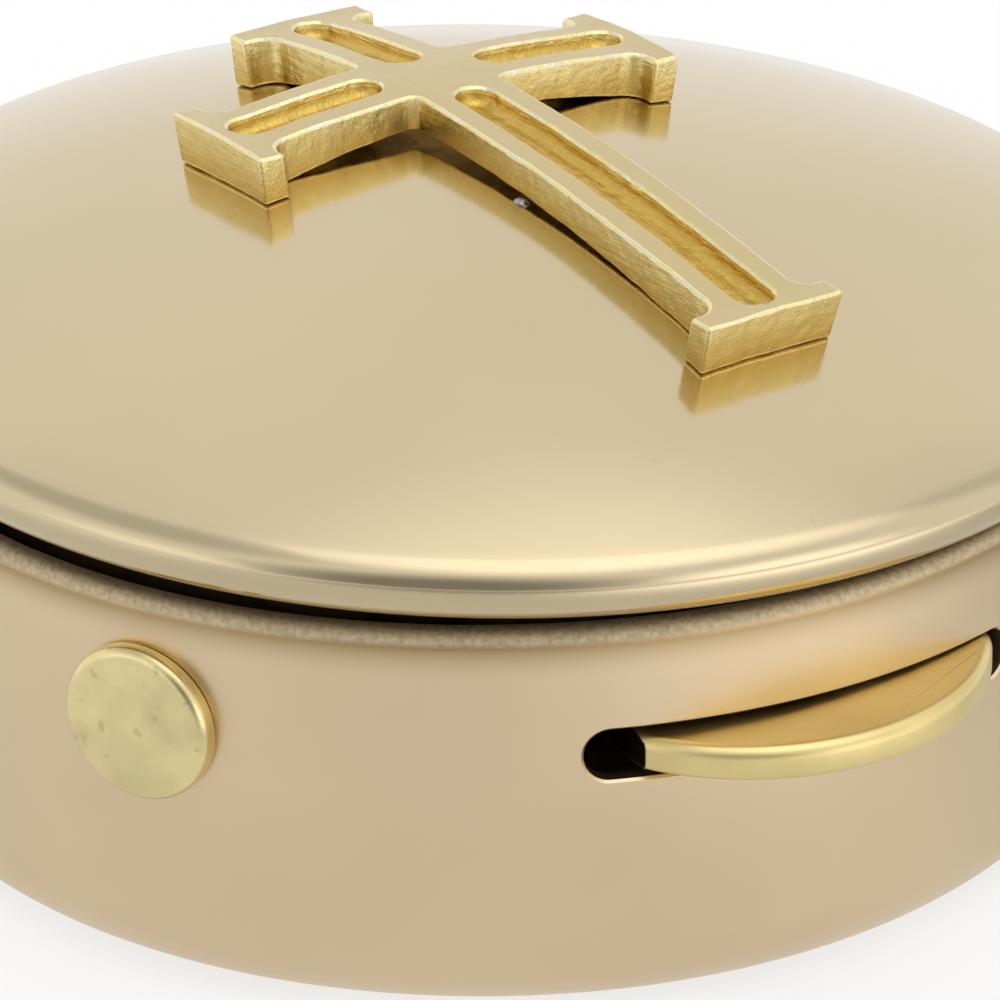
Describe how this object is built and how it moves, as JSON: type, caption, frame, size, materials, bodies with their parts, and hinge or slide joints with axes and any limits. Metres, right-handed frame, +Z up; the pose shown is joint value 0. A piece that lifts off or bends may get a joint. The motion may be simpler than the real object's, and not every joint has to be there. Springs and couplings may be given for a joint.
{
  "type": "pyx",
  "caption": "Small round gilt box with a domed, hinged lid, a raised cross on top and a crescent push tab that frees the lid's catch.",
  "frame": {"origin": "centre of the flat underside of the cup, where it stands on a table", "axes": "+Z up, +Y towards the hinge, -Y towards the push tab, so +X is to the right when the tab faces you"},
  "size_m": [0.0564, 0.0594, 0.0287],
  "materials": {
    "cup_gilt": "gold-plated, satin with a pinkish sheen",
    "lid_gilt": "gold-plated, polished",
    "cross_gilt": "gold-plated casting, bright on top with rough sides",
    "tab_gilt": "gold-plated, polished with light tarnish",
    "hinge_gilt": "gold-plated, satin",
    "inner_brass": "plain brass, darkened with age",
    "spring_brass": "rolled spring brass, satin"
  },
  "bodies": {
    "base": {"base_cup": "cup_gilt", "wall_rivet": "tab_gilt", "rivet_burr": "inner_brass", "leaf_spring": "spring_brass", "hinge_base_leaf": "hinge_gilt", "hinge_pin": "hinge_gilt"},
    "lid": {"lid_shell": "lid_gilt", "lid_bezel": "inner_brass", "lid_catch": "inner_brass", "cross": "cross_gilt", "cross_studs": "inner_brass", "hinge_lid_leaf": "hinge_gilt"},
    "latch": {"push_tab": "tab_gilt"}
  },
  "joints": [
    {"name": "lid_hinge", "type": "hinge", "parent": "base", "child": "lid", "pos_m": [0, 0.028, 0.0183], "axis": [-1, 0, 0], "range_deg": [0, 110]},
    {"name": "tab_press", "type": "slide", "parent": "base", "child": "latch", "axis": [0.0976, 0.9952, 0], "range_m": [0, 0.0016], "stiffness_N_per_m": 1500, "springref_m": -0.001, "deforming": ["leaf_spring"]}
  ]
}
